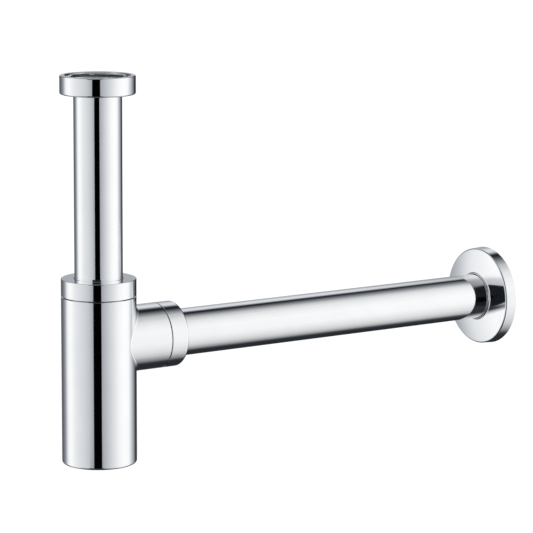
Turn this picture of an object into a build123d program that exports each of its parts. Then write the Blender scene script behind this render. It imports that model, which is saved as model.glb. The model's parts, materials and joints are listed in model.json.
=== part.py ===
"""Bottle trap for a basin waste: inlet with union nut, bottle, branch and wall outlet.

Millimetres. +Z is up and the origin is the centre of the union nut's mouth.
+X runs along the outlet towards the wall.
"""

from build123d import *
import math
import os

os.makedirs("parts", exist_ok=True)

# ---------------------------------------------------------------- driving sizes
TUBE_R = 16.0                  # both tubes are the standard 32 mm waste tube
TUBE_WALL = 1.0
THREAD_R = 20.955              # G 1 1/4 major radius, cut inside every nut
THREAD_DEPTH = 0.9             # radial room that stands in for meshing threads

# running and seating clearances, all radial unless said otherwise
SLIDE_FIT = 0.05               # rubber or plastic that slides on a tube
TUBE_CLEAR = 0.35              # metal passing round a tube
SEAT_CLEAR = 0.25              # a loose piece in its seat
SEAM_GAP = 0.60                # axial gap left where a nut meets its shoulder
SEAM_EDGE = 0.25               # broken edge each side of a seam
EDGE = 0.5                     # ordinary broken edge

# union nut at the inlet
NUT_R = 25.0
UNION_H = 12.4
UNION_WEB = 2.8                # thickness of the nut's inturned end
UNION_BOTTOM_R = 1.2           # rounded lower edge
MOUTH_LIP = 0.45               # bevel inside the mouth
SLIP_T = 0.8                   # thickness of every slip washer
TUBE_FLANGE_R = 19.2           # rolled flange at the tube's top
TUBE_FLANGE_T = 1.5
GASKET_T = 2.0
RELIEF = 0.4                   # plain bore below the thread is this much wider
GASKET_WIDTH = 2.8

# heights of the inlet tube and the bottle
INLET_RUN = 134.4              # from the mouth down to the top of the collar nut
COLLAR_H = 11.45
OUTLET_DROP = 43.1             # from the top of the collar nut to the outlet's axis
FOOT_DROP = 81.5               # from the outlet's axis to the base
TUCK = 41.6                    # length of inlet tube below the top of the collar nut
DIP_CLEAR = 5.5                # water way between the dip tube and the cleanout plug

# bottle
BODY_R = 25.0
BODY_WALL = 1.7
SHOULDER_T = 3.2
BASE_EDGE_R = 1.6
INSIDE_R = 2.0

# nuts that squeeze a cone seal on a tube
NUT_WEB = 2.2                  # thickness of a nut's end
WASHER_R = 19.7
SEAL_FLANGE_R = 19.4
SEAL_FLANGE_T = 1.5
CONE_TOP_R = 18.2
CONE_TIP_R = 17.2
CONE_H = 3.6
SEAT_R = 18.6                  # mouth bore that takes the cone

# dip tube
DIP_R = 17.6
DIP_WALL = 0.9
DIP_RIM_T = 1.5

# branch and outlet
BRANCH_R = 22.2
BRANCH_FILLET = 2.0
BRANCH_END = 43.6              # shoulder that the outlet nut comes down to
OUTLET_NUT_END = 57.6
OUTLET_NUT_EDGE_R = 2.4
BRANCH_BORE_R = 17.0
TUBE_START = 30.0              # outlet tube's end inside the branch
TUBE_END = 336.0               # outlet tube's end behind the wall flange

# wall flange
FLANGE_FACE_X = 316.7          # where the domed face meets the rim
FLANGE_FACE_R = 33.9
FLANGE_BACK_R = 35.1
FLANGE_DEPTH = 8.6
FLANGE_SHEET = 1.2
FLANGE_DOME_R = 300.0
FLANGE_BEND_R = 1.3
LIP_L = 1.8                    # the hole's edge is drawn forward round the tube
LIP_R = 16.95
LIP_BASE_R = 17.25
HUB_R = 20.6
RING_R = 1.4                   # section radius of the rubber ring
RING_WALL = 0.9                # metal either side of the ring's groove

# cleanout plug
PLUG_R = 21.6
PLUG_HEAD_T = 3.0
PLUG_SINK = 0.4                # how far the head sits above the bottle's foot
PLUG_SEAL_T = 1.6
PLUG_STEM_R = 17.6
PLUG_WALL = 2.0
PLUG_THREAD_L = 6.0
SLOT_W = 3.0
SLOT_L = 26.0
SLOT_DEPTH = 1.4

# ---------------------------------------------------------------- derived sizes
TUBE_IN = TUBE_R - TUBE_WALL
SPIGOT_R = THREAD_R - THREAD_DEPTH
BORE_R = TUBE_R + SLIDE_FIT
NUT_HOLE_R = TUBE_R + TUBE_CLEAR
BODY_IN = BODY_R - BODY_WALL

UNION_SHELF = -UNION_H + UNION_WEB
TUBE_TOP = UNION_SHELF + SLIP_T + TUBE_FLANGE_T
GASKET_TOP = TUBE_TOP + GASKET_T

COLLAR_TOP = -INLET_RUN
OUTLET_Z = COLLAR_TOP - OUTLET_DROP
BASE_Z = OUTLET_Z - FOOT_DROP
INLET_END = COLLAR_TOP - TUCK
COLLAR_BOTTOM = COLLAR_TOP - COLLAR_H
SHOULDER_Z = COLLAR_BOTTOM - SEAM_GAP
CAVITY_TOP = SHOULDER_Z - SHOULDER_T
COLLAR_SHELF = COLLAR_TOP - NUT_WEB
SEAL_TOP = COLLAR_SHELF - SLIP_T
NECK_TOP = SEAL_TOP - SEAL_FLANGE_T
CONE_TIP_Z = NECK_TOP - CONE_H
DIP_LEDGE = CONE_TIP_Z - DIP_RIM_T
DIP_IN = DIP_R - DIP_WALL

OUTLET_SHELF = OUTLET_NUT_END - NUT_WEB
OUTLET_SEAL_END = OUTLET_SHELF - SLIP_T
SPIGOT_END = OUTLET_SEAL_END - SEAL_FLANGE_T
OUTLET_CONE_X = SPIGOT_END - CONE_H
OUTLET_NUT_START = BRANCH_END + SEAM_GAP

FLANGE_BACK_X = FLANGE_FACE_X + FLANGE_DEPTH
FLANGE_HOLE_R = NUT_HOLE_R
RING_X = FLANGE_FACE_X + FLANGE_SHEET + RING_WALL + RING_R
HUB_END_X = RING_X + RING_R + RING_WALL

PLUG_FACE = BASE_Z + PLUG_SINK
PLUG_HEAD_TOP = PLUG_FACE + PLUG_HEAD_T
PLUG_SHELF = PLUG_HEAD_TOP + PLUG_SEAL_T
STEM_TOP = PLUG_SHELF + PLUG_THREAD_L
FOOT_TOP = STEM_TOP - 1.0      # the stem stands this far into the bottle
DIP_END = STEM_TOP + DIP_CLEAR
PLUG_HOLE_R = PLUG_STEM_R + THREAD_DEPTH
PLUG_POCKET_R = PLUG_R + SEAT_CLEAR


def on_outlet(x):
    """Plane square to the outlet at x, its normal towards the wall."""
    return Plane(origin=(x, 0, OUTLET_Z), x_dir=(0, 1, 0), z_dir=(1, 0, 0))


def keep(part, name):
    """Label the finished part and write its STEP file."""
    part.label = name
    export_step(part, f"parts/{name}.step")


def profile_up(points):
    """Closed half section on the XZ plane, for turning about Z."""
    with BuildSketch(Plane.XZ) as section:
        with BuildLine():
            Polyline(*points, close=True)
        make_face()
    return section.sketch


def profile_outlet(points):
    """Closed half section above the outlet's axis, for turning about that axis."""
    raised = [(x, OUTLET_Z + r) for x, r in points]
    with BuildSketch(Plane.XZ) as section:
        with BuildLine():
            Polyline(*raised, close=True)
        make_face()
    return section.sketch


OUTLET_AXIS = Axis((0, 0, OUTLET_Z), (1, 0, 0))


def edges_at(part, kind, x=None, z=None, r=None):
    """Circular edges on one plane with one radius."""
    found = part.edges().filter_by(kind)
    if x is not None:
        found = found.filter_by(lambda e: abs(e.arc_center.X - x) < 0.01)
    if z is not None:
        found = found.filter_by(lambda e: abs(e.arc_center.Z - z) < 0.01)
    if r is not None:
        found = found.filter_by(lambda e: abs(e.radius - r) < 0.01)
    return found


# ---------------------------------------------------------------- union nut
with BuildPart() as union_nut:
    with BuildSketch(Plane.XY.offset(-UNION_H)):
        Circle(NUT_R)
    extrude(amount=UNION_H)
    with BuildSketch(Plane.XY.offset(UNION_SHELF)):
        Circle(THREAD_R)
    extrude(amount=-UNION_SHELF, mode=Mode.SUBTRACT)
    with BuildSketch(Plane.XY.offset(UNION_SHELF)):
        Circle(THREAD_R + RELIEF)
    extrude(amount=GASKET_TOP - UNION_SHELF, mode=Mode.SUBTRACT)
    with BuildSketch(Plane.XY.offset(-UNION_H)):
        Circle(NUT_HOLE_R)
    extrude(amount=UNION_WEB, mode=Mode.SUBTRACT)
    fillet(edges_at(union_nut.part, GeomType.CIRCLE, z=-UNION_H, r=NUT_R), UNION_BOTTOM_R)
    chamfer(edges_at(union_nut.part, GeomType.CIRCLE, z=0, r=THREAD_R), MOUTH_LIP)
    fillet(edges_at(union_nut.part, GeomType.CIRCLE, z=0, r=NUT_R), EDGE)
keep(union_nut.part, "union_nut")

with BuildPart() as union_slip_ring:
    with BuildSketch(Plane.XY.offset(UNION_SHELF)):
        Circle(WASHER_R)
        Circle(BORE_R, mode=Mode.SUBTRACT)
    extrude(amount=SLIP_T)
keep(union_slip_ring.part, "union_slip_ring")

with BuildPart() as union_gasket:
    with BuildSketch(Plane.XY.offset(TUBE_TOP)):
        Circle(TUBE_FLANGE_R)
        Circle(TUBE_FLANGE_R - GASKET_WIDTH, mode=Mode.SUBTRACT)
    extrude(amount=GASKET_T)
    chamfer(edges_at(union_gasket.part, GeomType.CIRCLE, z=GASKET_TOP), EDGE / 2)
keep(union_gasket.part, "union_gasket")

# ---------------------------------------------------------------- inlet tube
with BuildPart() as inlet_tube:
    with BuildSketch(Plane.XY.offset(INLET_END)):
        Circle(TUBE_R)
    extrude(amount=TUBE_TOP - INLET_END)
    with BuildSketch(Plane.XY.offset(TUBE_TOP - TUBE_FLANGE_T)):
        Circle(TUBE_FLANGE_R)
    extrude(amount=TUBE_FLANGE_T)
    with BuildSketch(Plane.XY.offset(INLET_END)):
        Circle(TUBE_IN)
    extrude(amount=TUBE_TOP - INLET_END, mode=Mode.SUBTRACT)
    fillet(edges_at(inlet_tube.part, GeomType.CIRCLE, z=TUBE_TOP, r=TUBE_IN), EDGE)
    chamfer(edges_at(inlet_tube.part, GeomType.CIRCLE, z=INLET_END), TUBE_WALL / 4)
keep(inlet_tube.part, "inlet_tube")

# ---------------------------------------------------------------- collar nut and its seal
with BuildPart() as collar_nut:
    with BuildSketch(Plane.XY.offset(COLLAR_BOTTOM)):
        Circle(NUT_R)
    extrude(amount=COLLAR_H)
    with BuildSketch(Plane.XY.offset(COLLAR_BOTTOM)):
        Circle(THREAD_R)
    extrude(amount=COLLAR_H - NUT_WEB, mode=Mode.SUBTRACT)
    with BuildSketch(Plane.XY.offset(COLLAR_SHELF)):
        Circle(NUT_HOLE_R)
    extrude(amount=NUT_WEB, mode=Mode.SUBTRACT)
    fillet(edges_at(collar_nut.part, GeomType.CIRCLE, z=COLLAR_TOP, r=NUT_R), EDGE)
    chamfer(edges_at(collar_nut.part, GeomType.CIRCLE, z=COLLAR_TOP, r=NUT_HOLE_R), EDGE / 2)
    chamfer(edges_at(collar_nut.part, GeomType.CIRCLE, z=COLLAR_BOTTOM, r=NUT_R), SEAM_EDGE)
    chamfer(edges_at(collar_nut.part, GeomType.CIRCLE, z=COLLAR_BOTTOM, r=THREAD_R), EDGE)
keep(collar_nut.part, "collar_nut")

with BuildPart() as collar_slip_washer:
    with BuildSketch(Plane.XY.offset(SEAL_TOP)):
        Circle(WASHER_R)
        Circle(NUT_HOLE_R, mode=Mode.SUBTRACT)
    extrude(amount=SLIP_T)
keep(collar_slip_washer.part, "collar_slip_washer")

inlet_seal_section = profile_up([
    (BORE_R, SEAL_TOP),
    (SEAL_FLANGE_R, SEAL_TOP),
    (SEAL_FLANGE_R, NECK_TOP),
    (CONE_TOP_R, NECK_TOP),
    (CONE_TIP_R, CONE_TIP_Z),
    (BORE_R, CONE_TIP_Z),
])
with BuildPart() as inlet_seal:
    add(inlet_seal_section)
    revolve(axis=Axis.Z)
keep(inlet_seal.part, "inlet_seal")

# ---------------------------------------------------------------- dip tube
with BuildPart() as dip_tube:
    with BuildSketch(Plane.XY.offset(DIP_END)):
        Circle(DIP_R)
    extrude(amount=DIP_LEDGE - DIP_END)
    with BuildSketch(Plane.XY.offset(DIP_LEDGE)):
        Circle(SEAT_R - SEAT_CLEAR / 2)
    extrude(amount=DIP_RIM_T)
    with BuildSketch(Plane.XY.offset(DIP_END)):
        Circle(DIP_IN)
    extrude(amount=CONE_TIP_Z - DIP_END, mode=Mode.SUBTRACT)
    chamfer(edges_at(dip_tube.part, GeomType.CIRCLE, z=CONE_TIP_Z, r=DIP_IN), DIP_WALL / 3)
    chamfer(edges_at(dip_tube.part, GeomType.CIRCLE, z=DIP_END), DIP_WALL / 3)
keep(dip_tube.part, "dip_tube")

# ---------------------------------------------------------------- bottle body
with BuildPart() as bottle_body:
    with BuildSketch(Plane.XY.offset(BASE_Z)):
        Circle(BODY_R)
    extrude(amount=SHOULDER_Z - BASE_Z)
    with BuildSketch(on_outlet(0)):
        Circle(BRANCH_R)
    extrude(amount=BRANCH_END)
    saddle = bottle_body.edges().filter_by(GeomType.CIRCLE, reverse=True).filter_by(GeomType.LINE, reverse=True)
    fillet(saddle, BRANCH_FILLET)
    chamfer(edges_at(bottle_body.part, GeomType.CIRCLE, z=SHOULDER_Z, r=BODY_R), SEAM_EDGE)
    chamfer(edges_at(bottle_body.part, GeomType.CIRCLE, x=BRANCH_END, r=BRANCH_R), SEAM_EDGE)
    fillet(edges_at(bottle_body.part, GeomType.CIRCLE, z=BASE_Z, r=BODY_R), BASE_EDGE_R)
    # threaded neck and spigot, at the thread's root
    with BuildSketch(Plane.XY.offset(SHOULDER_Z)):
        Circle(SPIGOT_R)
    extrude(amount=NECK_TOP - SHOULDER_Z)
    with BuildSketch(on_outlet(BRANCH_END)):
        Circle(SPIGOT_R)
    extrude(amount=SPIGOT_END - BRANCH_END)
    chamfer(edges_at(bottle_body.part, GeomType.CIRCLE, z=NECK_TOP, r=SPIGOT_R), EDGE)
    chamfer(edges_at(bottle_body.part, GeomType.CIRCLE, x=SPIGOT_END, r=SPIGOT_R), EDGE)
    # water space
    with BuildSketch(Plane.XY.offset(FOOT_TOP)):
        Circle(BODY_IN)
    extrude(amount=CAVITY_TOP - FOOT_TOP, mode=Mode.SUBTRACT)
    fillet(edges_at(bottle_body.part, GeomType.CIRCLE, z=CAVITY_TOP, r=BODY_IN), INSIDE_R)
    # neck: clearance for the dip tube, then the seat for its rim and the cone
    with BuildSketch(Plane.XY.offset(CAVITY_TOP)):
        Circle(DIP_R + SEAT_CLEAR / 2)
    extrude(amount=DIP_LEDGE - CAVITY_TOP, mode=Mode.SUBTRACT)
    with BuildSketch(Plane.XY.offset(DIP_LEDGE)):
        Circle(SEAT_R)
    extrude(amount=NECK_TOP - DIP_LEDGE, mode=Mode.SUBTRACT)
    # branch bore and the cone's seat at its mouth
    with BuildSketch(on_outlet(0)):
        Circle(BRANCH_BORE_R)
    extrude(amount=SPIGOT_END, mode=Mode.SUBTRACT)
    with BuildSketch(on_outlet(OUTLET_CONE_X - SEAT_CLEAR)):
        Circle(SEAT_R)
    extrude(amount=CONE_H + SEAT_CLEAR, mode=Mode.SUBTRACT)
    # foot: threaded hole for the plug and the pocket for its head
    with BuildSketch(Plane.XY.offset(BASE_Z)):
        Circle(PLUG_HOLE_R)
    extrude(amount=FOOT_TOP - BASE_Z, mode=Mode.SUBTRACT)
    with BuildSketch(Plane.XY.offset(BASE_Z)):
        Circle(PLUG_POCKET_R)
    extrude(amount=PLUG_SHELF - BASE_Z, mode=Mode.SUBTRACT)
    chamfer(edges_at(bottle_body.part, GeomType.CIRCLE, z=BASE_Z, r=PLUG_POCKET_R), EDGE)
keep(bottle_body.part, "bottle_body")

# ---------------------------------------------------------------- cleanout plug and its seal
with BuildPart() as cleanout_plug:
    with BuildSketch(Plane.XY.offset(PLUG_FACE)):
        Circle(PLUG_R)
    extrude(amount=PLUG_HEAD_T)
    with BuildSketch(Plane.XY.offset(PLUG_HEAD_TOP)):
        Circle(PLUG_STEM_R)
    extrude(amount=STEM_TOP - PLUG_HEAD_TOP)
    with BuildSketch(Plane.XY.offset(PLUG_HEAD_TOP)):
        Circle(PLUG_STEM_R - PLUG_WALL)
    extrude(amount=STEM_TOP - PLUG_HEAD_TOP, mode=Mode.SUBTRACT)
    with BuildSketch(Plane.XY.offset(PLUG_FACE)):
        SlotOverall(SLOT_L, SLOT_W)
    extrude(amount=SLOT_DEPTH, mode=Mode.SUBTRACT)
    chamfer(edges_at(cleanout_plug.part, GeomType.CIRCLE, z=PLUG_FACE, r=PLUG_R), EDGE)
    chamfer(edges_at(cleanout_plug.part, GeomType.CIRCLE, z=STEM_TOP, r=PLUG_STEM_R), EDGE)
    fillet(edges_at(cleanout_plug.part, GeomType.CIRCLE, z=PLUG_HEAD_TOP, r=PLUG_STEM_R - PLUG_WALL), EDGE)
keep(cleanout_plug.part, "cleanout_plug")

with BuildPart() as plug_seal:
    with BuildSketch(Plane.XY.offset(PLUG_HEAD_TOP)):
        Circle(PLUG_R - SEAT_CLEAR)
        Circle(PLUG_STEM_R + SEAT_CLEAR, mode=Mode.SUBTRACT)
    extrude(amount=PLUG_SEAL_T)
keep(plug_seal.part, "plug_seal")

# ---------------------------------------------------------------- outlet nut and its seal
with BuildPart() as outlet_nut:
    with BuildSketch(on_outlet(OUTLET_NUT_START)):
        Circle(BRANCH_R)
    extrude(amount=OUTLET_NUT_END - OUTLET_NUT_START)
    with BuildSketch(on_outlet(OUTLET_NUT_START)):
        Circle(THREAD_R)
    extrude(amount=OUTLET_SHELF - OUTLET_NUT_START, mode=Mode.SUBTRACT)
    with BuildSketch(on_outlet(OUTLET_SHELF)):
        Circle(NUT_HOLE_R)
    extrude(amount=NUT_WEB, mode=Mode.SUBTRACT)
    fillet(edges_at(outlet_nut.part, GeomType.CIRCLE, x=OUTLET_NUT_END, r=BRANCH_R), OUTLET_NUT_EDGE_R)
    chamfer(edges_at(outlet_nut.part, GeomType.CIRCLE, x=OUTLET_NUT_END, r=NUT_HOLE_R), EDGE / 2)
    chamfer(edges_at(outlet_nut.part, GeomType.CIRCLE, x=OUTLET_NUT_START, r=BRANCH_R), SEAM_EDGE)
    chamfer(edges_at(outlet_nut.part, GeomType.CIRCLE, x=OUTLET_NUT_START, r=THREAD_R), EDGE)
keep(outlet_nut.part, "outlet_nut")

with BuildPart() as outlet_slip_washer:
    with BuildSketch(on_outlet(OUTLET_SEAL_END)):
        Circle(WASHER_R)
        Circle(NUT_HOLE_R, mode=Mode.SUBTRACT)
    extrude(amount=SLIP_T)
keep(outlet_slip_washer.part, "outlet_slip_washer")

outlet_seal_section = profile_outlet([
    (OUTLET_SEAL_END, BORE_R),
    (OUTLET_SEAL_END, SEAL_FLANGE_R),
    (SPIGOT_END, SEAL_FLANGE_R),
    (SPIGOT_END, CONE_TOP_R),
    (OUTLET_CONE_X, CONE_TIP_R),
    (OUTLET_CONE_X, BORE_R),
])
with BuildPart() as outlet_seal:
    add(outlet_seal_section)
    revolve(axis=OUTLET_AXIS)
keep(outlet_seal.part, "outlet_seal")

# ---------------------------------------------------------------- outlet tube
with BuildPart() as outlet_tube:
    with BuildSketch(on_outlet(TUBE_START)):
        Circle(TUBE_R)
        Circle(TUBE_IN, mode=Mode.SUBTRACT)
    extrude(amount=TUBE_END - TUBE_START)
    chamfer(edges_at(outlet_tube.part, GeomType.CIRCLE, x=TUBE_START), TUBE_WALL / 4)
    chamfer(edges_at(outlet_tube.part, GeomType.CIRCLE, x=TUBE_END), TUBE_WALL / 4)
keep(outlet_tube.part, "outlet_tube")

# ---------------------------------------------------------------- wall flange
# one pressed sheet: a shallow dome with a slightly opening rim, a lip drawn forward
# round the tube, and a hub behind that holds the rubber ring
def dome_x(r):
    """Where the domed face lies at radius r from the outlet's axis."""
    edge = math.sqrt(FLANGE_DOME_R ** 2 - FLANGE_FACE_R ** 2)
    return FLANGE_FACE_X + edge - math.sqrt(FLANGE_DOME_R ** 2 - r ** 2)


LIP_X = dome_x(LIP_BASE_R) - LIP_L
DOME_MID_R = (LIP_BASE_R + FLANGE_FACE_R) / 2
SHEET_EDGE_R = FLANGE_FACE_R - FLANGE_SHEET
ring_groove_section = profile_outlet([
    (RING_X - RING_R - SLIDE_FIT, FLANGE_HOLE_R - EDGE),
    (RING_X - RING_R - SLIDE_FIT, BORE_R + 2 * RING_R + SLIDE_FIT),
    (RING_X + RING_R + SLIDE_FIT, BORE_R + 2 * RING_R + SLIDE_FIT),
    (RING_X + RING_R + SLIDE_FIT, FLANGE_HOLE_R - EDGE),
])
with BuildPart() as wall_flange:
    with BuildSketch(Plane.XZ):
        with BuildLine():
            Polyline(
                (dome_x(LIP_BASE_R), OUTLET_Z + LIP_BASE_R),
                (LIP_X, OUTLET_Z + LIP_R),
                (LIP_X, OUTLET_Z + FLANGE_HOLE_R),
                (HUB_END_X, OUTLET_Z + FLANGE_HOLE_R),
                (HUB_END_X, OUTLET_Z + HUB_R),
                (dome_x(HUB_R) + FLANGE_SHEET, OUTLET_Z + HUB_R),
            )
            ThreePointArc(
                (dome_x(HUB_R) + FLANGE_SHEET, OUTLET_Z + HUB_R),
                (dome_x(DOME_MID_R) + FLANGE_SHEET, OUTLET_Z + DOME_MID_R),
                (dome_x(SHEET_EDGE_R) + FLANGE_SHEET, OUTLET_Z + SHEET_EDGE_R),
            )
            Polyline(
                (dome_x(SHEET_EDGE_R) + FLANGE_SHEET, OUTLET_Z + SHEET_EDGE_R),
                (FLANGE_BACK_X, OUTLET_Z + FLANGE_BACK_R - FLANGE_SHEET),
                (FLANGE_BACK_X, OUTLET_Z + FLANGE_BACK_R),
                (FLANGE_FACE_X, OUTLET_Z + FLANGE_FACE_R),
            )
            ThreePointArc(
                (FLANGE_FACE_X, OUTLET_Z + FLANGE_FACE_R),
                (dome_x(DOME_MID_R), OUTLET_Z + DOME_MID_R),
                (dome_x(LIP_BASE_R), OUTLET_Z + LIP_BASE_R),
            )
        make_face()
    revolve(axis=OUTLET_AXIS)
    add(ring_groove_section)
    revolve(axis=OUTLET_AXIS, mode=Mode.SUBTRACT)
    fillet(edges_at(wall_flange.part, GeomType.CIRCLE, x=FLANGE_FACE_X, r=FLANGE_FACE_R), FLANGE_BEND_R)
    fillet(edges_at(wall_flange.part, GeomType.CIRCLE, x=LIP_X), EDGE / 2)
keep(wall_flange.part, "wall_flange")

with BuildPart() as flange_ring:
    with BuildSketch(Plane.XZ):
        with Locations((RING_X, OUTLET_Z + BORE_R + RING_R)):
            Circle(RING_R)
    revolve(axis=OUTLET_AXIS)
keep(flange_ring.part, "flange_ring")
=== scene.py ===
"""Looks of the bottle trap: polished chrome pieces, their threads, the studio and the camera."""
import bpy
import json
import math
import numpy as np
from mathutils import Matrix, Vector

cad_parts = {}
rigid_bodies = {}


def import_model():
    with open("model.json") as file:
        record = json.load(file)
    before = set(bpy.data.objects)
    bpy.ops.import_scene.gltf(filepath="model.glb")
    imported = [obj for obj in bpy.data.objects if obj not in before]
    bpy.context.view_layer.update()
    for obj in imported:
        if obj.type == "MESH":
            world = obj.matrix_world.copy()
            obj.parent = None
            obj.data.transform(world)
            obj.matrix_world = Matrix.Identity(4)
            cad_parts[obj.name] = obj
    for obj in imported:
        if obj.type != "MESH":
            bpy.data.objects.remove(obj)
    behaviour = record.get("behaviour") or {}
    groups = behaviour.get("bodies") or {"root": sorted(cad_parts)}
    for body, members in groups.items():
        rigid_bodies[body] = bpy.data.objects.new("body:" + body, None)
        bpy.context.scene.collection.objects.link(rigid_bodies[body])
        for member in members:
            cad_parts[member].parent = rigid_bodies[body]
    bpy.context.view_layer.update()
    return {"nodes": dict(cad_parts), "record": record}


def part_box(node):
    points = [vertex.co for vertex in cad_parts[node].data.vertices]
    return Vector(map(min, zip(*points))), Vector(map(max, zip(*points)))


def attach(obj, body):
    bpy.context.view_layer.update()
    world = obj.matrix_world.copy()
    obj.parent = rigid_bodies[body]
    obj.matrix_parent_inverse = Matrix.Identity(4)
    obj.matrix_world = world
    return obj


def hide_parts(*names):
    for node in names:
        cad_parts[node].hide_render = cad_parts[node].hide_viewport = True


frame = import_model()
MM = 0.001

# ------------------------------------------------------------------ sizes, mm


def span(node, axis):
    """Lowest and highest value of a CAD node along one axis, in mm."""
    low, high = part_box(node)
    return low[axis] / MM, high[axis] / MM


X, Y, Z = 0, 1, 2
TUBE_WALL = 1.0
TUBE_R = span("outlet_tube", Y)[1]
TUBE_CLEAR = 0.35
HOLE_R = TUBE_R + TUBE_CLEAR
OUTLET_Z = sum(span("outlet_tube", Z)) / 2
NUT_R = span("union_nut", Y)[1]
BODY_R = span("bottle_body", Y)[1]
BRANCH_R = span("outlet_nut", Y)[1]
THREAD_R = 20.955
THREAD_DEPTH = 0.9
PITCH = 2.309
SPIGOT_R = THREAD_R - THREAD_DEPTH
# roundings that many corners share: from an inside corner to a thread's opening
CREASE = 0.1
EDGE = 0.2
SEAM_EDGE = 0.22
TUBE_EDGE = 0.25
SOFT_EDGE = 0.3
THREAD_MOUTH = 0.4
LEAD_IN = 0.5

# ------------------------------------------------------------------ mesh building

TINY = 1e-6
RING_STEPS = 192
RING = np.arange(RING_STEPS) * 2 * math.pi / RING_STEPS


def add_object(name, data):
    """Makes an object of a mesh or camera and puts it in the scene."""
    made = bpy.data.objects.new(name, data)
    bpy.context.scene.collection.objects.link(made)
    return made


class Skin:
    """Four-sided faces with exact normals, joined at shared corners into one mesh."""

    def __init__(self):
        self.corners = []
        self.normals = []

    def add(self, corners, normals):
        """Adds faces from four arrays of corners and four arrays of normals."""
        every = np.broadcast_arrays(*(np.asarray(v, float) for v in (*corners, *normals)))
        self.corners.append(np.stack(every[:4], -2).reshape(-1, 4, 3))
        self.normals.append(np.stack(every[4:], -2).reshape(-1, 4, 3))

    def object(self, name):
        """Joins the faces into one smooth mesh. A face with two equal corners becomes a triangle."""
        corners = np.round(np.concatenate(self.corners), 5) + 0.0
        normals = np.concatenate(self.normals)
        points, ids = np.unique(corners.reshape(-1, 3), axis=0, return_inverse=True)
        ids = ids.reshape(-1, 4)
        facing = np.cross(corners[:, 2] - corners[:, 0], corners[:, 3] - corners[:, 1])
        back = (facing * normals.sum(1)).sum(1) < 0
        ids[back] = ids[back, ::-1]
        normals[back] = normals[back, ::-1]
        own = ids != np.roll(ids, 1, axis=1)
        real = own.sum(1) > 2
        ids, own, normals = ids[real], own[real], normals[real]
        mesh = bpy.data.meshes.new(name)
        mesh.from_pydata(points * MM, [], [row[keep].tolist() for row, keep in zip(ids, own)])
        mesh.polygons.foreach_set("use_smooth", [True] * len(ids))
        mesh.update()
        loops = normals[own]
        mesh.normals_split_custom_set(loops / np.linalg.norm(loops, axis=1, keepdims=True))
        return add_object(name, mesh)


def up_inlet(s, r, t):
    """Points at height s and radius r on the inlet's axis."""
    s, r, t = np.broadcast_arrays(s, r, t)
    return np.stack([r * np.cos(t), r * np.sin(t), s], -1)


def along_outlet(s, r, t):
    """Points at distance s along the outlet and radius r from its axis."""
    s, r, t = np.broadcast_arrays(s, r, t)
    return np.stack([s, r * np.sin(t), OUTLET_Z + r * np.cos(t)], -1)


def turned(place, ns, nr, t):
    """Direction of a section's normal once it is turned to angle t."""
    return place(ns, nr, t) - place(0.0, 0.0, t)


def section(corners, closed=True, step=0.16):
    """Segments of a turned section. Each corner is (along, radius, rounding).

    Gives (start, end, start normal, end normal) for each segment. A closed section's
    normals point out of it, and an open one's to the left of its direction of travel.
    """
    pts = [np.array(c[:2], float) for c in corners]
    rounding = [c[2] if len(c) > 2 else 0 for c in corners]
    n = len(pts)
    area = sum(pts[i - 1][0] * pts[i][1] - pts[i][0] * pts[i - 1][1] for i in range(n))
    side = 1.0 if closed and area > 0 else -1.0
    made = []
    ends = []
    for i in range(n):
        r = rounding[i]
        if r <= 0 or (not closed and i in (0, n - 1)):
            ends.append((pts[i], pts[i], None))
            continue
        a = pts[i - 1] - pts[i]
        b = pts[(i + 1) % n] - pts[i]
        a, b = a / np.linalg.norm(a), b / np.linalg.norm(b)
        half = math.acos(np.clip(a @ b, -1, 1)) / 2
        back = r / math.tan(half)
        centre = pts[i] + (a + b) / np.linalg.norm(a + b) * (r / math.sin(half))
        ends.append((pts[i] + a * back, pts[i] + b * back, centre))
    for i in range(n if closed else n - 1):
        start, end = ends[i][1], ends[(i + 1) % n][0]
        d = end - start
        length = np.linalg.norm(d)
        if length > TINY:
            normal = np.array([d[1], -d[0]]) / length * side
            made.append((start, end, normal, normal))
        p, q, centre = ends[(i + 1) % n]
        if centre is None:
            continue
        u, v = p - centre, q - centre
        r = np.linalg.norm(u)
        angle = math.acos(np.clip(u @ v / r / r, -1, 1))
        turn = np.sign(u[0] * v[1] - u[1] * v[0])
        d = q - p
        outward = np.sign(np.array([d[1], -d[0]]) @ (p + q - 2 * centre)) * side
        steps = max(3, math.ceil(angle / step))
        spun = []
        for k in range(steps + 1):
            w = turn * angle * k / steps
            rot = np.array([[math.cos(w), -math.sin(w)], [math.sin(w), math.cos(w)]])
            spun.append(rot @ u)
        for k in range(steps):
            made.append((centre + spun[k], centre + spun[k + 1],
                         outward * spun[k] / r, outward * spun[k + 1] / r))
    return made


def turn_section(skin, place, corners, angles=RING, closed=True):
    """Turns a section about an axis and adds it to the skin."""
    t, w = angles, np.roll(angles, -1)
    for p, q, m, n in section(corners, closed):
        skin.add([place(*p, t), place(*q, t), place(*q, w), place(*p, w)],
                 [turned(place, *normal, angle) for normal, angle in ((m, t), (n, t), (n, w), (m, w))])


def plated_piece(skin, node, body):
    """The skin as the chromed piece that stands for a CAD node and rides on a body."""
    made = skin.object(node + "_turned")
    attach(made, body)
    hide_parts(node)


def lathe(node, place, corners):
    """A turned piece in place of the CAD node that has the same name as its body."""
    skin = Skin()
    turn_section(skin, place, corners)
    plated_piece(skin, node, node)


# ------------------------------------------------------------------ the turned pieces

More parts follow.
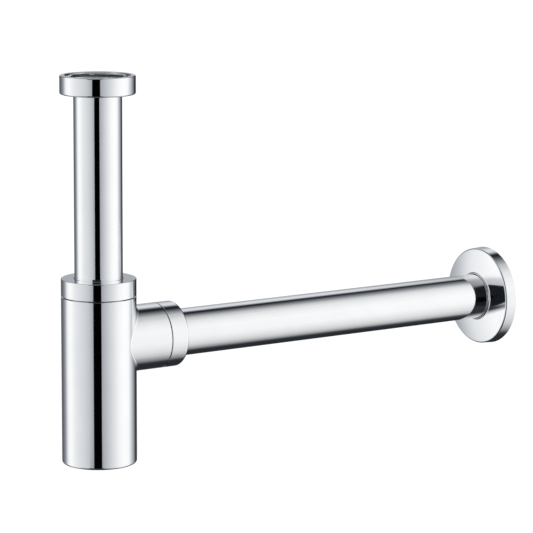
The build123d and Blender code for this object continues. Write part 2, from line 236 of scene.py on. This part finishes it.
union_low, union_top = span("union_nut", Z)
shelf = span("union_slip_ring", Z)[0]
tube_end, tube_top = span("inlet_tube", Z)
gasket_top = span("union_gasket", Z)[1]
flange_r = span("inlet_tube", Y)[1]
collar_low, collar_top = span("collar_nut", Z)
collar_shelf = span("collar_slip_washer", Z)[1]
nut_start, nut_end = span("outlet_nut", X)
nut_shelf = span("outlet_slip_washer", X)[1]
out_start, out_end = span("outlet_tube", X)
lip_x, back_x = span("wall_flange", X)
back_r = span("wall_flange", Y)[1]
ring_low, ring_high = span("flange_ring", X)
ring_r = span("flange_ring", Y)[1]

UNION_TOP_ROUND = 0.7
UNION_FOOT_ROUND = 1.2
RELIEF = 0.4
RELIEF_R = THREAD_R + RELIEF
MOUTH_BEVEL = 1.0
lathe("union_nut", up_inlet, [
    (union_top, NUT_R, UNION_TOP_ROUND),
    (union_low, NUT_R, UNION_FOOT_ROUND),
    (union_low, HOLE_R, EDGE),
    (shelf, HOLE_R, CREASE),
    (shelf, RELIEF_R, EDGE),
    (gasket_top, RELIEF_R, CREASE),
    (gasket_top, THREAD_R, CREASE),
    (union_top - MOUTH_BEVEL, THREAD_R, EDGE),
    (union_top, THREAD_R + MOUTH_BEVEL, SOFT_EDGE),
])

TUBE_FLANGE = 1.5
lathe("inlet_tube", up_inlet, [
    (tube_top, flange_r, SOFT_EDGE),
    (tube_top - TUBE_FLANGE, flange_r, SOFT_EDGE),
    (tube_top - TUBE_FLANGE, TUBE_R, TUBE_EDGE),
    (tube_end, TUBE_R, TUBE_EDGE),
    (tube_end, TUBE_R - TUBE_WALL, TUBE_EDGE),
    (tube_top, TUBE_R - TUBE_WALL, LEAD_IN),
])

COLLAR_ROUND = 0.5
lathe("collar_nut", up_inlet, [
    (collar_top, NUT_R, COLLAR_ROUND),
    (collar_low, NUT_R, SEAM_EDGE),
    (collar_low, THREAD_R, THREAD_MOUTH),
    (collar_shelf, THREAD_R, EDGE),
    (collar_shelf, HOLE_R, CREASE),
    (collar_top, HOLE_R, TUBE_EDGE),
])

OUTLET_NUT_ROUND = 2.4
lathe("outlet_nut", along_outlet, [
    (nut_start, BRANCH_R, SEAM_EDGE),
    (nut_end, BRANCH_R, OUTLET_NUT_ROUND),
    (nut_end, HOLE_R, TUBE_EDGE),
    (nut_shelf, HOLE_R, CREASE),
    (nut_shelf, THREAD_R, EDGE),
    (nut_start, THREAD_R, THREAD_MOUTH),
])

lathe("outlet_tube", along_outlet, [
    (out_start, TUBE_R, TUBE_EDGE),
    (out_end, TUBE_R, TUBE_EDGE),
    (out_end, TUBE_R - TUBE_WALL, TUBE_EDGE),
    (out_start, TUBE_R - TUBE_WALL, TUBE_EDGE),
])

SHEET = 1.2
HUB_R = 20.6
DOME_R = 300.0
DOME_SHARE = 0.8
LIP_BASE_R = 17.25
LIP_ROOT_R = LIP_BASE_R - 0.3
LIP_ROOT_ROUND = 0.75
LIP_R = LIP_BASE_R - 0.45
LIP_BACK = 0.5
RIM_TAPER = 0.6
RIM_DEPTH = 8.6
RIM_ROUND = 1.3
RIM_INSIDE_ROUND = 0.4
GROOVE_END = 0.9
GROOVE_LIP_ROUND = 0.05
RING_CLEAR = 0.05
FACE_R = back_r - RIM_TAPER
face_x = back_x - RIM_DEPTH
dome_x = face_x + math.sqrt(DOME_R ** 2 - FACE_R ** 2)


def on_dome(r, behind=0.0):
    """Distance along the outlet of the flange's domed face at radius r."""
    return dome_x - math.sqrt(DOME_R ** 2 - r * r) + behind


def dome_corner(a, b, behind=0.0):
    """Where the dome's tangents at radii a and b cross, with the rounding between them.

    The rounding stops a little short of both radii, so that it never meets the next corner's.
    """
    low, high = math.asin(a / DOME_R), math.asin(b / DOME_R)
    middle, half = (low + high) / 2, (high - low) / 2
    reach = DOME_R / math.cos(half)
    along = dome_x - reach * math.cos(middle) + behind
    return along, reach * math.sin(middle), DOME_R * DOME_SHARE


lathe("wall_flange", along_outlet, [
    (lip_x + LIP_BACK, HOLE_R, EDGE),
    (lip_x + LIP_BACK, LIP_R, SEAM_EDGE),
    (on_dome(LIP_BASE_R), LIP_ROOT_R, LIP_ROOT_ROUND),
    dome_corner(LIP_BASE_R, FACE_R),
    (face_x, FACE_R, RIM_ROUND),
    (back_x, back_r, EDGE),
    (back_x, back_r - SHEET, EDGE),
    (on_dome(FACE_R - SHEET, SHEET), FACE_R - SHEET, RIM_INSIDE_ROUND),
    dome_corner(HUB_R, FACE_R - SHEET, SHEET),
    (on_dome(HUB_R, SHEET), HUB_R, SOFT_EDGE),
    (ring_high + GROOVE_END, HUB_R, SOFT_EDGE),
    (ring_high + GROOVE_END, HOLE_R, SOFT_EDGE),
    (ring_high + RING_CLEAR, HOLE_R, GROOVE_LIP_ROUND),
    (ring_high + RING_CLEAR, ring_r + RING_CLEAR, CREASE),
    (ring_low - RING_CLEAR, ring_r + RING_CLEAR, CREASE),
    (ring_low - RING_CLEAR, HOLE_R, GROOVE_LIP_ROUND),
])

# ------------------------------------------------------------------ the bottle's body

PATCH_ANGLE = math.pi / 2
PATCH_MARGIN = 3.0
PATCH_RINGS = 6
FILLET_STEPS = 8
BACK_STEPS = 96


def tee(skin, rv, rh, fillet, x_end, sign):
    """Where a branch of radius rh leaves a vertical cylinder of radius rv.

    Adds the cylinder's band at the branch, the rolled fillet and the branch as far as
    x_end. Gives the angles of the corners round the band and its two heights.
    """
    axis = np.array([0, 0, OUTLET_Z])
    y, z = (rh + fillet) * np.sin(RING), (rh + fillet) * np.cos(RING)
    centre = np.stack([np.sqrt((rv + fillet) ** 2 - y * y), y, z], -1) + axis
    on_wall = (centre - axis) * [rv / (rv + fillet), rv / (rv + fillet), 1] + axis
    on_branch = (centre - axis) * [1, rh / (rh + fillet), rh / (rh + fillet)] + axis

    def after(rows):
        return np.roll(rows, -1, axis=0)

    def wall_normal(p):
        return sign * p * [1, 1, 0]

    def wall_point(f, z):
        return up_inlet(z, rv, f)

    # branch
    out = sign * turned(along_outlet, 0.0, 1.0, RING)
    end = along_outlet(x_end, rh, RING)
    skin.add([on_branch, end, after(end), after(on_branch)], [out, out, after(out), after(out)])
    # fillet, each strip rolled between its two lines of contact
    if fillet:
        u, v = on_wall - centre, on_branch - centre
        angle = np.arccos((u * v).sum(1) / fillet ** 2)[:, None]
        strip = [(np.sin((1 - f) * angle) * u + np.sin(f * angle) * v) / np.sin(angle)
                 for f in np.linspace(0, 1, FILLET_STEPS + 1)]
        for p, q in zip(strip, strip[1:]):
            skin.add([centre + p, centre + q, after(centre + q), after(centre + p)],
                     [-sign * p, -sign * q, -sign * after(q), -sign * after(p)])
    # wall round the branch, from the line of contact out to a rectangle
    half = rh + fillet + PATCH_MARGIN
    k = 1 / np.maximum(abs(np.sin(RING)), abs(np.cos(RING)))
    rim_turn, rim_z = k * np.sin(RING) * PATCH_ANGLE, OUTLET_Z + k * np.cos(RING) * half
    hole_turn, hole_z = np.arctan2(on_wall[:, 1], on_wall[:, 0]), on_wall[:, 2]
    rows = [wall_point(hole_turn * (1 - f) + rim_turn * f, hole_z * (1 - f) + rim_z * f)
            for f in np.linspace(0, 1, PATCH_RINGS + 1)]
    rows[0] = on_wall
    for p, q in zip(rows, rows[1:]):
        quad = [p, q, after(q), after(p)]
        skin.add(quad, [wall_normal(c) for c in quad])
    # wall behind
    edge = abs(rim_turn) > PATCH_ANGLE - TINY
    heights = np.unique(np.round(rim_z[edge], 7))
    turns = np.linspace(PATCH_ANGLE, 2 * math.pi - PATCH_ANGLE, BACK_STEPS + 1)
    a, z = np.meshgrid(turns[:-1], heights[:-1])
    b, h = np.meshgrid(turns[1:], heights[1:])
    quad = [wall_point(a, z), wall_point(b, z), wall_point(b, h), wall_point(a, h)]
    skin.add(quad, [wall_normal(c) for c in quad])
    front = np.unique(np.round(rim_turn[rim_z > OUTLET_Z + half - TINY], 9))
    return np.concatenate([front, turns[1:-1]]), OUTLET_Z - half, OUTLET_Z + half


SEAM = 0.6
SEAL_STANDS = 1.5
DIP_FLANGE = 1.5
ROOF = 3.2
PLUG_STANDS = 1.0
SEAT_DEPTH = 3.85
SEAT_R = 18.6
BORE_R = 17.0
BODY_WALL = 1.7
INSIDE_R = BODY_R - BODY_WALL
DIP_HOLE_R = 17.725
PLUG_HOLE_R = 18.5
POCKET_R = 21.85
BRANCH_FILLET = 2.0
ROOF_ROUND = 2.0
BASE_ROUND = 1.6
BRANCH_STOP = 40.0
BORE_STOP = 30.0
shoulder = collar_low - SEAM
neck_top = span("inlet_seal", Z)[1] - SEAL_STANDS
ledge = span("dip_tube", Z)[1] - DIP_FLANGE
cavity_top = shoulder - ROOF
base = span("bottle_body", Z)[0]
plug_shelf = span("plug_seal", Z)[1]
foot_top = span("cleanout_plug", Z)[1] - PLUG_STANDS
branch_end = nut_start - SEAM
spigot_end = span("outlet_seal", X)[1] - SEAL_STANDS

bottle = Skin()
outer, outer_low, outer_high = tee(bottle, BODY_R, BRANCH_R, BRANCH_FILLET, BRANCH_STOP, 1)
inner, inner_low, inner_high = tee(bottle, INSIDE_R, BORE_R, 0, BORE_STOP, -1)
# the outside, the neck and the water space meet on rings with the same corners
turn_section(bottle, up_inlet, [
    (outer_high, BODY_R),
    (shoulder, BODY_R, SEAM_EDGE),
    (shoulder, SPIGOT_R, EDGE),
    (neck_top, SPIGOT_R, LEAD_IN),
    (neck_top, SEAT_R, EDGE),
    (ledge, SEAT_R, CREASE),
    (ledge, DIP_HOLE_R, CREASE),
    (cavity_top, DIP_HOLE_R, EDGE),
    (cavity_top, INSIDE_R, ROOF_ROUND),
    (inner_high, INSIDE_R),
], outer, closed=False)
turn_section(bottle, up_inlet, [
    (inner_low, INSIDE_R),
    (foot_top, INSIDE_R, SOFT_EDGE),
    (foot_top, PLUG_HOLE_R, EDGE),
    (plug_shelf, PLUG_HOLE_R, CREASE),
    (plug_shelf, POCKET_R, CREASE),
    (base, POCKET_R, LEAD_IN),
    (base, BODY_R, BASE_ROUND),
    (outer_low, BODY_R),
], outer, closed=False)
turn_section(bottle, along_outlet, [
    (BRANCH_STOP, BRANCH_R),
    (branch_end, BRANCH_R, SEAM_EDGE),
    (branch_end, SPIGOT_R, EDGE),
    (spigot_end, SPIGOT_R, LEAD_IN),
    (spigot_end, SEAT_R, EDGE),
    (spigot_end - SEAT_DEPTH, SEAT_R, CREASE),
    (spigot_end - SEAT_DEPTH, BORE_R, EDGE),
    (BORE_STOP, BORE_R),
], closed=False)
plated_piece(bottle, "bottle_body", "bottle")

# ------------------------------------------------------------------ threads

THREAD_STEPS = 72
RIDGE = 0.74
ROOT_HALF = 0.62
CREST_HALF = 0.12
SUNK = 0.04
LOWEST = 0.02
NUDGE = 0.01


def thread(name, place, body, root, crest, start, end, hand):
    """A helical ridge from root to crest radius, running out at both ends.

    Its root is sunk a little into the wall it stands on.
    """
    steps = int(abs(end - start) / PITCH * THREAD_STEPS)
    out = 1 if crest > root else -1
    k = np.arange(steps + 1)
    t = hand * 2 * math.pi * k / THREAD_STEPS
    s = start + (end - start) * k / steps
    run_out = THREAD_STEPS / 3
    grow = np.clip(np.minimum(k, steps - k) / run_out, LOWEST, 1)
    tip = root + (crest - root) * grow
    sunk = root - out * SUNK
    ridge = [place(s - ROOT_HALF, sunk, t), place(s - CREST_HALF, tip, t),
             place(s + CREST_HALF, tip, t), place(s + ROOT_HALF, sunk, t)]
    slope = (ROOT_HALF - CREST_HALF) / abs(crest - root)
    dirs = [turned(place, a, out * b, t) for a, b in ((-1, slope), (0, 1), (1, slope), (0, -1))]
    skin = Skin()
    for i, facing in enumerate(dirs):
        p, q = ridge[i], ridge[(i + 1) % 4]
        skin.add([p[:-1], q[:-1], q[1:], p[1:]], [facing[:-1], facing[:-1], facing[1:], facing[1:]])
    for end_row, way in ((0, -1), (-1, 1)):
        tangent = place(0.0, 1.0, t[end_row] + NUDGE) - place(0.0, 1.0, t[end_row] - NUDGE)
        skin.add([p[end_row] for p in ridge], [tangent * way * hand] * 4)
    made = skin.object(name)
    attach(made, body)


# a thread and the one it screws into lie half a pitch apart, so their ridges pass
IN_CREST = THREAD_R - RIDGE
OUT_CREST = SPIGOT_R + RIDGE
PLUG_STEM_R = PLUG_HOLE_R - THREAD_DEPTH
MARGIN = 1.0
GASKET_MARGIN = 0.9
MOUTH_MARGIN = 1.6
PLUG_MARGIN = 0.8
STEM_MARGIN = 0.2
FOOT_MARGIN = 0.6
collar_thread = collar_low + MARGIN
outlet_thread = nut_start + MARGIN
plug_thread = plug_shelf + PLUG_MARGIN
thread("union_nut_thread", up_inlet, "union_nut", THREAD_R, IN_CREST,
       gasket_top + GASKET_MARGIN, union_top - MOUTH_MARGIN, 1)
thread("collar_nut_thread", up_inlet, "collar_nut", THREAD_R, IN_CREST,
       collar_thread, collar_shelf - MARGIN, 1)
thread("neck_thread", up_inlet, "bottle", SPIGOT_R, OUT_CREST,
       collar_thread + PITCH / 2, neck_top - MARGIN, 1)
thread("outlet_nut_thread", along_outlet, "outlet_nut", THREAD_R, IN_CREST,
       outlet_thread, nut_shelf - MARGIN, -1)
thread("spigot_thread", along_outlet, "bottle", SPIGOT_R, OUT_CREST,
       outlet_thread + PITCH / 2, spigot_end - MARGIN, -1)
thread("plug_thread", up_inlet, "cleanout_plug", PLUG_STEM_R, PLUG_STEM_R + RIDGE,
       plug_thread, foot_top - STEM_MARGIN, 1)
thread("foot_thread", up_inlet, "bottle", PLUG_HOLE_R, PLUG_HOLE_R - RIDGE,
       plug_thread + PITCH / 2, foot_top - FOOT_MARGIN, 1)

# ------------------------------------------------------------------ materials


class Nodes:
    """Builds a node tree in one-line steps.

    An input is named by its label, or by "i" and its number, and takes a value or a socket.
    """

    def __init__(self, tree):
        self.tree = tree
        tree.nodes.clear()

    def add(self, kind, **inputs):
        node = self.tree.nodes.new(kind)
        for key, value in inputs.items():
            self.put(node, key, value)
        return node

    def put(self, node, key, value):
        socket = node.inputs[int(key[1:])] if key[0] == "i" and key[1:].isdigit() else node.inputs[key]
        if isinstance(value, bpy.types.NodeSocket):
            self.tree.links.new(value, socket)
        else:
            socket.default_value = value

    def math(self, operation, a, b=0.0):
        node = self.add("ShaderNodeMath", i0=a, i1=b)
        node.operation = operation
        return node.outputs[0]

    def spread(self, value, a, b, c, d, smooth=False):
        """Maps the range a to b onto c to d and holds it there beyond both ends."""
        node = self.tree.nodes.new("ShaderNodeMapRange")
        node.interpolation_type = "SMOOTHSTEP" if smooth else "LINEAR"
        for i, v in enumerate((value, a, b, c, d)):
            self.put(node, f"i{i}", v)
        return node.outputs[0]

    def noise(self, vector, scale, detail):
        node = self.add("ShaderNodeTexNoise", Vector=vector, Scale=scale, Detail=detail)
        return node.outputs["Fac"]

    def mix(self, factor, a, b, blend="MIX"):
        """Mixes two colours, which are inputs 6 and 7 of the node."""
        node = self.tree.nodes.new("ShaderNodeMix")
        node.data_type = "RGBA"
        node.blend_type = blend
        for key, value in (("i0", factor), ("i6", a), ("i7", b)):
            self.put(node, key, value)
        return node.outputs[2]

    def bump(self, shader, strength, distance, height):
        node = self.add("ShaderNodeBump", Strength=strength, Distance=distance, Height=height)
        self.put(shader, "Normal", node.outputs[0])

    def finish(self, shader, output="ShaderNodeOutputMaterial"):
        self.tree.links.new(shader.outputs[0], self.add(output).inputs[0])


def new_material(name):
    """An empty material and the builder of its nodes."""
    material = bpy.data.materials.new(name)
    material.use_nodes = True
    return material, Nodes(material.node_tree)


def surface(name, build):
    """A material whose look is built round a principled shader."""
    material, nodes = new_material(name)
    where = nodes.add("ShaderNodeTexCoord").outputs["Object"]
    shader = nodes.add("ShaderNodeBsdfPrincipled")
    build(nodes, where, shader)
    nodes.finish(shader)
    return material


def chrome_look(nodes, where, shader):
    """Bright plating: faint polishing haze, a few dust specks and hairline wipe marks."""
    shader.inputs["Metallic"].default_value = 1.0
    haze = nodes.noise(where, scale=55.0, detail=4.0)
    stretch = nodes.add("ShaderNodeMapping", Vector=where, Scale=(1.0, 1.0, 9.0))
    wipe = nodes.noise(stretch.outputs[0], scale=420.0, detail=2.0)
    specks = nodes.noise(where, scale=1400.0, detail=1.0)
    rough = nodes.spread(haze, 0.3, 0.7, 0.025, 0.06)
    rough = nodes.math("ADD", rough, nodes.spread(wipe, 0.55, 0.75, 0.0, 0.02))
    rough = nodes.math("ADD", rough, nodes.spread(specks, 0.74, 0.8, 0.0, 0.08))
    nodes.put(shader, "Roughness", rough)
    cloud = nodes.spread(haze, 0.35, 0.65, 0.0, 1.0)
    nodes.put(shader, "Base Color", nodes.mix(cloud, (0.915, 0.925, 0.94, 1), (0.945, 0.95, 0.96, 1)))
    nodes.bump(shader, 0.02, 0.00005, wipe)


def cut_metal_look(nodes, where, shader):
    """Machined thread: duller and darker than the plating round it."""
    shader.inputs["Metallic"].default_value = 1.0
    grain = nodes.noise(where, scale=900.0, detail=4.0)
    patch = nodes.noise(where, scale=120.0, detail=2.0)
    nodes.put(shader, "Roughness", nodes.spread(grain, 0.3, 0.7, 0.16, 0.32))
    nodes.put(shader, "Base Color", nodes.mix(patch, (0.5, 0.51, 0.53, 1), (0.66, 0.67, 0.69, 1)))
    nodes.bump(shader, 0.15, 0.0001, grain)


def rubber_look(nodes, where, shader):
    """Moulded grey rubber with bloom and a fine matt skin."""
    grain = nodes.noise(where, scale=1600.0, detail=3.0)
    bloom = nodes.noise(where, scale=140.0, detail=4.0)
    nodes.put(shader, "Base Color", nodes.mix(bloom, (0.13, 0.13, 0.135, 1), (0.21, 0.21, 0.215, 1)))
    nodes.put(shader, "Roughness", nodes.spread(bloom, 0.3, 0.7, 0.5, 0.75))
    nodes.bump(shader, 0.3, 0.0001, grain)


def nylon_look(nodes, where, shader):
    """Natural nylon, slightly translucent."""
    flow = nodes.noise(where, scale=260.0, detail=3.0)
    nodes.put(shader, "Base Color", nodes.mix(flow, (0.72, 0.70, 0.64, 1), (0.82, 0.81, 0.76, 1)))
    nodes.put(shader, "Roughness", nodes.spread(flow, 0.3, 0.7, 0.38, 0.55))
    shader.inputs["Subsurface Weight"].default_value = 0.15
    shader.inputs["Subsurface Radius"].default_value = (0.002, 0.0018, 0.0015)
    nodes.bump(shader, 0.1, 0.0001, flow)


def plastic_look(nodes, where, shader):
    """White moulded plastic with faint flow marks."""
    flow = nodes.noise(where, scale=90.0, detail=4.0)
    fine = nodes.noise(where, scale=1500.0, detail=2.0)
    nodes.put(shader, "Base Color", nodes.mix(flow, (0.74, 0.74, 0.71, 1), (0.82, 0.82, 0.8, 1)))
    nodes.put(shader, "Roughness", nodes.spread(flow, 0.3, 0.7, 0.24, 0.4))
    nodes.bump(shader, 0.05, 0.0001, fine)


looks = {
    "chrome": surface("chrome_plating", chrome_look),
    "cut": surface("cut_thread", cut_metal_look),
    "rubber": surface("grey_rubber", rubber_look),
    "nylon": surface("natural_nylon", nylon_look),
    "white_plastic": surface("white_plastic", plastic_look),
}


def paint(piece, look):
    piece.data.materials.clear()
    piece.data.materials.append(looks[look])


# the union nut's thread is the one that shows in its open mouth, plated like the nut
for piece in bpy.data.objects:
    if piece.name.endswith("_turned") or piece.name == "union_nut_thread":
        paint(piece, "chrome")
    elif piece.name.endswith("_thread"):
        paint(piece, "cut")
slots = {row["node"]: row["material_slot"] for row in frame["record"]["subparts"]}
for name, node in frame["nodes"].items():
    paint(node, slots[name])

# ------------------------------------------------------------------ floor

WHITE = (1, 1, 1, 1)
PAPER = (0.9, 0.9, 0.9, 1)
GLOW = 1.85
GLOW_SHARE = 0.46
FLOOR_Z = base * MM
FLOOR_HALF = 30.0


def stage_sheet(name, corners, material):
    """One flat face that belongs to the studio."""
    mesh = bpy.data.meshes.new(name)
    mesh.from_pydata(corners, [], [(0, 1, 2, 3)])
    mesh.materials.append(material)
    made = add_object(name, mesh)
    return made


# paper that glows for the camera alone, so it turns out white and keeps the object's shadow;
# from underneath it is clear
paper, nodes = new_material("floor_paper")
path = nodes.add("ShaderNodeLightPath")
matt = nodes.add("ShaderNodeBsdfDiffuse", Color=PAPER)
glow = nodes.add("ShaderNodeEmission", Color=WHITE, Strength=GLOW)
glow_share = nodes.math("MULTIPLY", path.outputs["Is Camera Ray"], GLOW_SHARE)
top_side = nodes.add("ShaderNodeMixShader", i0=glow_share, i1=matt.outputs[0], i2=glow.outputs[0])
underneath = nodes.add("ShaderNodeNewGeometry").outputs["Backfacing"]
clear = nodes.add("ShaderNodeBsdfTransparent")
nodes.finish(nodes.add("ShaderNodeMixShader", i0=underneath, i1=top_side.outputs[0], i2=clear.outputs[0]))
floor = stage_sheet("floor", [(x * FLOOR_HALF, y * FLOOR_HALF, FLOOR_Z)
                              for x, y in ((-1, -1), (1, -1), (1, 1), (-1, 1))], paper)
floor.visible_glossy = False

# ------------------------------------------------------------------ tent, mirrored in the chrome

GAMMA = 2.2
TENT_GAIN = 1.06
CAST_RED = 0.33
CAST_GREEN = 0.19


def tent(v):
    """Brightness as it looks, 0 to 1, as a linear colour with the tent's cool cast in its darks."""
    level = v ** GAMMA * TENT_GAIN
    return (level * (1 - CAST_RED * (1 - v)), level * (1 - CAST_GREEN * (1 - v)), level, 1)


def ramp(nodes, value, stops):
    """A colour ramp with a stop at each (position, colour)."""
    node = nodes.tree.nodes.new("ShaderNodeValToRGB")
    nodes.put(node, "Fac", value)
    line = node.color_ramp
    line.interpolation = "LINEAR"
    line.elements[0].position = stops[0][0]
    line.elements[0].color = stops[0][1]
    line.elements[1].position = stops[-1][0]
    line.elements[1].color = stops[-1][1]
    for at, colour in stops[1:-1]:
        line.elements.new(at).color = colour
    return node.outputs[0]


# walls of the tent by compass bearing, in degrees clockwise from +Y, with the dark gaps beside
# the backdrop sheet
WALLS = [(0, 0.38), (12, 0.43), (22, 0.46), (33, 0.38), (45, 0.22), (62, 0.20), (74, 0.50), (85, 0.70),
         (97, 0.86), (108, 0.99), (125, 1.01), (145, 0.98), (165, 0.89), (185, 0.78), (200, 0.68),
         (227.5, 0.68), (240, 0.79), (260, 0.86), (285, 0.92), (305, 1.0), (314, 0.99), (318, 0.96),
         (321, 0.94), (324, 0.91), (327, 0.84), (330, 0.76), (333, 0.70), (338, 0.61), (343, 0.54),
         (350, 0.47), (360, 0.38)]
# how the walls fall off above and below, by height in degrees
FADE = [(-90, 0.06), (-66, 0.10), (-58, 0.30), (-51, 0.55), (-42, 0.72), (-30, 0.85), (-15, 0.97),
        (0, 1.0), (20, 0.99), (36, 0.90), (48, 0.76), (56, 0.57), (70, 0.44), (90, 0.42)]
# the backdrop sheet straight behind, by height, from its sweep to its top edge
SHEET_BEARING = 30
SHEET_TONE = [(-56, 0.18), (-42, 0.19), (-36, 0.22), (-30, 0.34), (-24, 0.44), (-17, 0.53), (-12, 0.74),
              (-8, 0.89), (0, 0.82), (7, 0.70), (14, 0.67), (19, 0.71), (26, 0.82), (33, 0.88),
              (39, 0.86), (43, 0.74), (46, 0.56), (50, 0.20), (54, 0.22)]
# the black slit that the camera looks through, by bearing, and the dark stand round it
SLIT = (201.8, 226.2)
SLIT_EDGE = 0.6
SLIT_HEIGHT = -9
SLIT_TONE = 0.04
STAND_BEARING = 219
STAND_TONE = 0.14
# the dark floor on the sheet's side and on the camera's, and the softbox overhead
BACK_FLOOR_TONE = 0.2
BACK_FLOOR_SHARE = 0.85
FRONT_FLOOR_BEARING = 228
FRONT_FLOOR_HEIGHT = -60
FRONT_FLOOR_TONE = 0.22
SOFTBOX_TONE = 0.6

world = bpy.data.worlds.new("studio")
bpy.context.scene.world = world
world.use_nodes = True
nodes = Nodes(world.node_tree)
way = nodes.add("ShaderNodeTexCoord").outputs["Generated"]
east, north, up = nodes.add("ShaderNodeSeparateXYZ", Vector=way).outputs
turn = nodes.math("DIVIDE", nodes.math("ARCTAN2", east, north), 2 * math.pi)
turn = nodes.math("FRACT", nodes.math("ADD", turn, 1.0))
bearing = nodes.math("MULTIPLY", turn, 360)
height = nodes.math("MULTIPLY", nodes.math("ARCSINE", up), 180 / math.pi)
level = nodes.spread(height, -90, 90, 0, 1)


def by_height(stops, colour):
    """A ramp over the height, with each stop's tone turned into a colour."""
    return ramp(nodes, level, [((at + 90) / 180, colour(tone)) for at, tone in stops])


def from_bearing(middle):
    """Degrees of bearing away from a middle one."""
    gap = nodes.math("ABSOLUTE", nodes.math("SUBTRACT", bearing, middle))
    return nodes.math("MINIMUM", gap, nodes.math("SUBTRACT", 360, gap))


def from_height(middle):
    """Degrees of height away from a middle one."""
    return nodes.math("ABSOLUTE", nodes.math("SUBTRACT", height, middle))


def band(value, inner, outer):
    """1 up to inner, falling smoothly to 0 at outer."""
    return nodes.spread(value, inner, outer, 1, 0, True)


# each zone of the tent covers what was there before it; its limits are in degrees
walls = ramp(nodes, turn, [(at / 360, tent(tone)) for at, tone in WALLS])
fade = by_height(FADE, lambda tone: (tone, tone, tone, 1))
scene_colour = nodes.mix(1.0, walls, fade, "MULTIPLY")
# the sheet behind, wider at its top
flare = nodes.math("ADD", nodes.spread(height, 0, 25, 0, 5), nodes.spread(height, 25, 43, 0, 11))
aside = nodes.math("SUBTRACT", from_bearing(SHEET_BEARING), flare)
scene_colour = nodes.mix(band(aside, 2, 14), scene_colour, by_height(SHEET_TONE, tent))
# the floor on the sheet's side
back_floor = nodes.math("MULTIPLY", band(from_bearing(SHEET_BEARING), 45, 70), band(height, -36, -22))
back_floor = nodes.math("MULTIPLY", back_floor, BACK_FLOOR_SHARE)
scene_colour = nodes.mix(back_floor, scene_colour, tent(BACK_FLOOR_TONE))
# the stand above and below the slit, wider away from its middle
beside = band(from_height(SLIT_HEIGHT), 4.5, 8)
steep = from_height(0)
stand = nodes.math("SUBTRACT", from_bearing(STAND_BEARING), nodes.spread(steep, 15, 40, 0, 8))
stand = nodes.math("MULTIPLY", band(stand, 18, 23), band(steep, 44, 56))
stand = nodes.math("MULTIPLY", stand, nodes.math("SUBTRACT", 1, beside))
scene_colour = nodes.mix(stand, scene_colour, tent(STAND_TONE))
# the slit
slit_middle, slit_half = sum(SLIT) / 2, (SLIT[1] - SLIT[0]) / 2
slit = band(from_bearing(slit_middle), slit_half - SLIT_EDGE, slit_half + SLIT_EDGE)
slit = nodes.math("MULTIPLY", slit, band(from_height(SLIT_HEIGHT), 6, 16))
scene_colour = nodes.mix(slit, scene_colour, tent(SLIT_TONE))
# the floor on the camera's side
rise = nodes.math("SUBTRACT", height, FRONT_FLOOR_HEIGHT)
front_floor = nodes.math("MULTIPLY", band(from_bearing(FRONT_FLOOR_BEARING), 30, 64), band(rise, 16, 30))
scene_colour = nodes.mix(front_floor, scene_colour, tent(FRONT_FLOOR_TONE))
# the softbox overhead
scene_colour = nodes.mix(nodes.spread(height, 60, 70, 0, 1, True), scene_colour, tent(SOFTBOX_TONE))
# the camera itself sees plain white round the object
path = nodes.add("ShaderNodeLightPath")
inside = nodes.add("ShaderNodeBackground", Color=scene_colour, Strength=1.0)
plain = nodes.add("ShaderNodeBackground", Color=WHITE, Strength=1.0)
seen = nodes.add("ShaderNodeMixShader", i0=path.outputs["Is Camera Ray"], i1=inside.outputs[0],
                 i2=plain.outputs[0])
nodes.finish(seen, "ShaderNodeOutputWorld")

# ------------------------------------------------------------------ camera

LOOK_YAW = math.radians(33.49)
LOOK_PITCH = math.radians(10.0)
ROLL = math.radians(0.33)
EYE = Vector((-0.8444, -1.4770, 0.1733))
forward = Vector((math.sin(LOOK_YAW) * math.cos(LOOK_PITCH),
                  math.cos(LOOK_YAW) * math.cos(LOOK_PITCH), -math.sin(LOOK_PITCH)))
right = Vector((math.cos(LOOK_YAW), -math.sin(LOOK_YAW), 0))
above = right.cross(forward)
across = right * math.cos(ROLL) + above * math.sin(ROLL)
upward = above * math.cos(ROLL) - right * math.sin(ROLL)
lens = bpy.data.cameras.new("camera")
lens.sensor_width = 36
lens.lens = 176.5
lens.clip_start = 0.01
lens.clip_end = 100
camera = add_object("camera", lens)
camera.matrix_world = Matrix((
    (across.x, upward.x, -forward.x, EYE.x),
    (across.y, upward.y, -forward.y, EYE.y),
    (across.z, upward.z, -forward.z, EYE.z),
    (0, 0, 0, 1)))
bpy.context.scene.camera = camera
bpy.context.scene.view_settings.view_transform = "Standard"

# ------------------------------------------------------------------ flag: a glowing sheet for a painted dark reflection

# a dark flag runs away from the object beside the camera, edge-on to the bottle, so only the wall flange
# mirrors its face;
# it glows at a fixed dark tone and is hidden from the camera, shadows and diffuse light, so the dark it
# puts in the flange is a painted reflection, not lit felt; corners in metres, near end first
FLAG = [(-0.690, -0.655, -0.62), (-7.01, -7.13, -3.90), (-7.01, -7.13, 0.09), (-0.690, -0.655, -0.145)]
# the flag's colour is an emitted fixed dark tone, a painted reflection rather than lit cloth
painted_dark_glow, nodes = new_material("flag_painted_dark_glow")
nodes.finish(nodes.add("ShaderNodeEmission", Color=tent(STAND_TONE), Strength=1.0))
flag = stage_sheet("flag", FLAG, painted_dark_glow)
flag.visible_camera = False
flag.visible_diffuse = False
flag.visible_shadow = False
flag.visible_transmission = False
